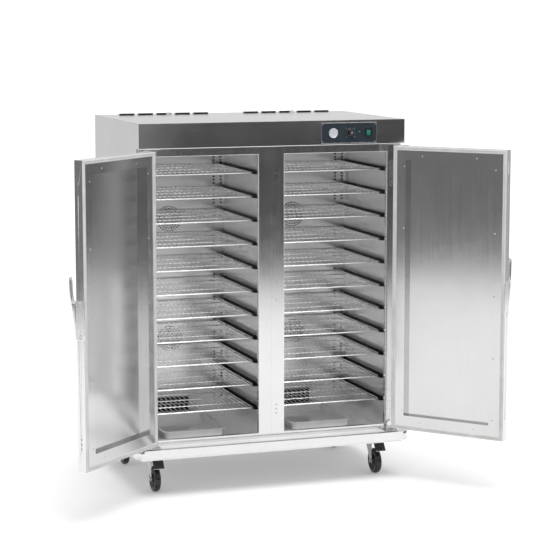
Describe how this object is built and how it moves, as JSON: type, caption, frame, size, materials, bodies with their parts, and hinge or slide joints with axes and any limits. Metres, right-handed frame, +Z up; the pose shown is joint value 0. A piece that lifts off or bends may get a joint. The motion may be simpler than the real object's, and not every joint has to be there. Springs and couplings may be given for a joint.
{
  "type": "heated holding cabinet",
  "caption": "Double-door insulated hot food holding cabinet on casters, with sliding wire shelves, water pans, latch levers, a control panel and a wrap-around bumper.",
  "frame": {"origin": "on the floor, under the middle of the whole object's bounding box with both doors open as at rest", "axes": "+X to the right along the front, +Y from the front to the back, +Z up"},
  "size_m": [2.1359, 1.3779, 1.792],
  "materials": {
    "steel_panel": "fine satin stainless steel",
    "steel_bright": "bright stainless steel",
    "fascia_steel": "satin stainless steel that reflects dark",
    "foam": "rigid insulating foam",
    "bumper_vinyl": "satin grey",
    "wire_chrome": "polished",
    "panel_dark": "satin",
    "dial_white": "gloss",
    "knob_black": "gloss",
    "rocker_green": "gloss",
    "gasket_grey": "satin",
    "caster_steel": "zinc plated",
    "tyre_black": "satin",
    "pedal_black": "satin"
  },
  "bodies": {
    "cabinet": {"outer_shell": "steel_panel", "top_panel": "steel_panel", "insulation": "foam", "front_frame": "steel_panel", "chassis": "steel_panel", "bumper": "bumper_vinyl", "liner_left": "steel_bright", "liner_right": "steel_bright", "air_ducts": "steel_bright", "shelf_runners": "steel_bright", "fascia": "fascia_steel", "control_panel": "panel_dark", "gauge_and_lamp": "dial_white", "pivot_brackets": "wire_chrome"},
    "door_left": {"door_left": "steel_panel", "door_liner_left": "steel_bright", "gasket_left": "gasket_grey", "latch_left": "wire_chrome"},
    "lever_left": {"lever_left": "wire_chrome"},
    "door_right": {"door_right": "steel_panel", "door_liner_right": "steel_bright", "gasket_right": "gasket_grey", "latch_right": "wire_chrome"},
    "lever_right": {"lever_right": "wire_chrome"},
    "thermostat_knob": {"thermostat_knob": "knob_black"},
    "power_rocker": {"power_rocker": "rocker_green"},
    "fork_front_left": {"fork_front_left": "caster_steel"},
    "wheel_front_left": {"wheel_front_left": "tyre_black"},
    "fork_front_right": {"fork_front_right": "caster_steel"},
    "wheel_front_right": {"wheel_front_right": "tyre_black"},
    "fork_back_left": {"fork_back_left": "caster_steel"},
    "wheel_back_left": {"wheel_back_left": "tyre_black"},
    "fork_back_right": {"fork_back_right": "caster_steel"},
    "wheel_back_right": {"wheel_back_right": "tyre_black"},
    "pedal_left": {"pedal_left": "pedal_black"},
    "pedal_right": {"pedal_right": "pedal_black"},
    "shelf_left_1": {"shelf_left_1": "wire_chrome"},
    "shelf_left_2": {"shelf_left_2": "wire_chrome"},
    "shelf_left_3": {"shelf_left_3": "wire_chrome"},
    "shelf_left_4": {"shelf_left_4": "wire_chrome"},
    "shelf_left_5": {"shelf_left_5": "wire_chrome"},
    "shelf_left_6": {"shelf_left_6": "wire_chrome"},
    "shelf_left_7": {"shelf_left_7": "wire_chrome"},
    "shelf_left_8": {"shelf_left_8": "wire_chrome"},
    "shelf_left_9": {"shelf_left_9": "wire_chrome"},
    "shelf_left_10": {"shelf_left_10": "wire_chrome"},
    "shelf_left_11": {"shelf_left_11": "wire_chrome"},
    "water_pan_left": {"water_pan_left": "steel_bright"},
    "shelf_right_1": {"shelf_right_1": "wire_chrome"},
    "shelf_right_2": {"shelf_right_2": "wire_chrome"},
    "shelf_right_3": {"shelf_right_3": "wire_chrome"},
    "shelf_right_4": {"shelf_right_4": "wire_chrome"},
    "shelf_right_5": {"shelf_right_5": "wire_chrome"},
    "shelf_right_6": {"shelf_right_6": "wire_chrome"},
    "shelf_right_7": {"shelf_right_7": "wire_chrome"},
    "shelf_right_8": {"shelf_right_8": "wire_chrome"},
    "shelf_right_9": {"shelf_right_9": "wire_chrome"},
    "shelf_right_10": {"shelf_right_10": "wire_chrome"},
    "shelf_right_11": {"shelf_right_11": "wire_chrome"},
    "water_pan_right": {"water_pan_right": "steel_bright"}
  },
  "joints": [
    {"name": "door_left_hinge", "type": "hinge", "parent": "cabinet", "child": "door_left", "pos_m": [-0.595, -0.197, 0.95], "axis": [0, 0, -1], "range_deg": [-137.5, 77.5]},
    {"name": "lever_left_swing", "type": "hinge", "parent": "door_left", "child": "lever_left", "pos_m": [-1.04222, -0.58374, 1.018], "axis": [-0.7373, -0.6756, 0], "range_deg": [0, 35]},
    {"name": "door_right_hinge", "type": "hinge", "parent": "cabinet", "child": "door_right", "pos_m": [0.647, -0.197, 0.95], "axis": [0, 0, 1], "range_deg": [-130.5, 84.5]},
    {"name": "lever_right_swing", "type": "hinge", "parent": "door_right", "child": "lever_right", "pos_m": [1.04375, -0.63536, 1.018], "axis": [-0.6494, 0.7604, 0], "range_deg": [0, 35]},
    {"name": "thermostat_turn", "type": "hinge", "parent": "cabinet", "child": "thermostat_knob", "pos_m": [0.41, -0.208, 1.719], "axis": [0, -1, 0], "range_deg": [-270, 0]},
    {"name": "power_rocker_tilt", "type": "hinge", "parent": "cabinet", "child": "power_rocker", "pos_m": [0.504, -0.196, 1.719], "axis": [1, 0, 0], "range_deg": [-16, 0]},
    {"name": "caster_front_left_swivel", "type": "hinge", "parent": "cabinet", "child": "fork_front_left", "pos_m": [-0.546, -0.042, 0.164], "axis": [0, 0, 1], "continuous": true},
    {"name": "wheel_front_left_roll", "type": "hinge", "parent": "fork_front_left", "child": "wheel_front_left", "pos_m": [-0.546, -0.08, 0.0625], "axis": [1, 0, 0], "continuous": true},
    {"name": "caster_front_right_swivel", "type": "hinge", "parent": "cabinet", "child": "fork_front_right", "pos_m": [0.598, -0.042, 0.164], "axis": [0, 0, 1], "continuous": true},
    {"name": "wheel_front_right_roll", "type": "hinge", "parent": "fork_front_right", "child": "wheel_front_right", "pos_m": [0.598, -0.08, 0.0625], "axis": [1, 0, 0], "continuous": true},
    {"name": "caster_back_left_swivel", "type": "hinge", "parent": "cabinet", "child": "fork_back_left", "pos_m": [-0.546, 0.549, 0.164], "axis": [0, 0, 1], "continuous": true},
    {"name": "wheel_back_left_roll", "type": "hinge", "parent": "fork_back_left", "child": "wheel_back_left", "pos_m": [-0.546, 0.511, 0.0625], "axis": [1, 0, 0], "continuous": true},
    {"name": "caster_back_right_swivel", "type": "hinge", "parent": "cabinet", "child": "fork_back_right", "pos_m": [0.598, 0.549, 0.164], "axis": [0, 0, 1], "continuous": true},
    {"name": "wheel_back_right_roll", "type": "hinge", "parent": "fork_back_right", "child": "wheel_back_right", "pos_m": [0.598, 0.511, 0.0625], "axis": [1, 0, 0], "continuous": true},
    {"name": "pedal_left_press", "type": "hinge", "parent": "fork_front_left", "child": "pedal_left", "pos_m": [-0.546, -0.074, 0.148], "axis": [1, 0, 0], "range_deg": [0, 14]},
    {"name": "pedal_right_press", "type": "hinge", "parent": "fork_front_right", "child": "pedal_right", "pos_m": [0.598, -0.074, 0.148], "axis": [1, 0, 0], "range_deg": [0, 14]},
    {"name": "shelf_left_1_slide", "type": "slide", "parent": "cabinet", "child": "shelf_left_1", "axis": [0, -1, 0], "range_m": [0, 0.4]},
    {"name": "shelf_left_2_slide", "type": "slide", "parent": "cabinet", "child": "shelf_left_2", "axis": [0, -1, 0], "range_m": [0, 0.4]},
    {"name": "shelf_left_3_slide", "type": "slide", "parent": "cabinet", "child": "shelf_left_3", "axis": [0, -1, 0], "range_m": [0, 0.4]},
    {"name": "shelf_left_4_slide", "type": "slide", "parent": "cabinet", "child": "shelf_left_4", "axis": [0, -1, 0], "range_m": [0, 0.4]},
    {"name": "shelf_left_5_slide", "type": "slide", "parent": "cabinet", "child": "shelf_left_5", "axis": [0, -1, 0], "range_m": [0, 0.4]},
    {"name": "shelf_left_6_slide", "type": "slide", "parent": "cabinet", "child": "shelf_left_6", "axis": [0, -1, 0], "range_m": [0, 0.4]},
    {"name": "shelf_left_7_slide", "type": "slide", "parent": "cabinet", "child": "shelf_left_7", "axis": [0, -1, 0], "range_m": [0, 0.4]},
    {"name": "shelf_left_8_slide", "type": "slide", "parent": "cabinet", "child": "shelf_left_8", "axis": [0, -1, 0], "range_m": [0, 0.4]},
    {"name": "shelf_left_9_slide", "type": "slide", "parent": "cabinet", "child": "shelf_left_9", "axis": [0, -1, 0], "range_m": [0, 0.4]},
    {"name": "shelf_left_10_slide", "type": "slide", "parent": "cabinet", "child": "shelf_left_10", "axis": [0, -1, 0], "range_m": [0, 0.4]},
    {"name": "shelf_left_11_slide", "type": "slide", "parent": "cabinet", "child": "shelf_left_11", "axis": [0, -1, 0], "range_m": [0, 0.4]},
    {"name": "water_pan_left_slide", "type": "slide", "parent": "cabinet", "child": "water_pan_left", "axis": [0, -1, 0], "range_m": [0, 0.15]},
    {"name": "shelf_right_1_slide", "type": "slide", "parent": "cabinet", "child": "shelf_right_1", "axis": [0, -1, 0], "range_m": [0, 0.4]},
    {"name": "shelf_right_2_slide", "type": "slide", "parent": "cabinet", "child": "shelf_right_2", "axis": [0, -1, 0], "range_m": [0, 0.4]},
    {"name": "shelf_right_3_slide", "type": "slide", "parent": "cabinet", "child": "shelf_right_3", "axis": [0, -1, 0], "range_m": [0, 0.4]},
    {"name": "shelf_right_4_slide", "type": "slide", "parent": "cabinet", "child": "shelf_right_4", "axis": [0, -1, 0], "range_m": [0, 0.4]},
    {"name": "shelf_right_5_slide", "type": "slide", "parent": "cabinet", "child": "shelf_right_5", "axis": [0, -1, 0], "range_m": [0, 0.4]},
    {"name": "shelf_right_6_slide", "type": "slide", "parent": "cabinet", "child": "shelf_right_6", "axis": [0, -1, 0], "range_m": [0, 0.4]},
    {"name": "shelf_right_7_slide", "type": "slide", "parent": "cabinet", "child": "shelf_right_7", "axis": [0, -1, 0], "range_m": [0, 0.4]},
    {"name": "shelf_right_8_slide", "type": "slide", "parent": "cabinet", "child": "shelf_right_8", "axis": [0, -1, 0], "range_m": [0, 0.4]},
    {"name": "shelf_right_9_slide", "type": "slide", "parent": "cabinet", "child": "shelf_right_9", "axis": [0, -1, 0], "range_m": [0, 0.4]},
    {"name": "shelf_right_10_slide", "type": "slide", "parent": "cabinet", "child": "shelf_right_10", "axis": [0, -1, 0], "range_m": [0, 0.4]},
    {"name": "shelf_right_11_slide", "type": "slide", "parent": "cabinet", "child": "shelf_right_11", "axis": [0, -1, 0], "range_m": [0, 0.4]},
    {"name": "water_pan_right_slide", "type": "slide", "parent": "cabinet", "child": "water_pan_right", "axis": [0, -1, 0], "range_m": [0, 0.15]}
  ]
}
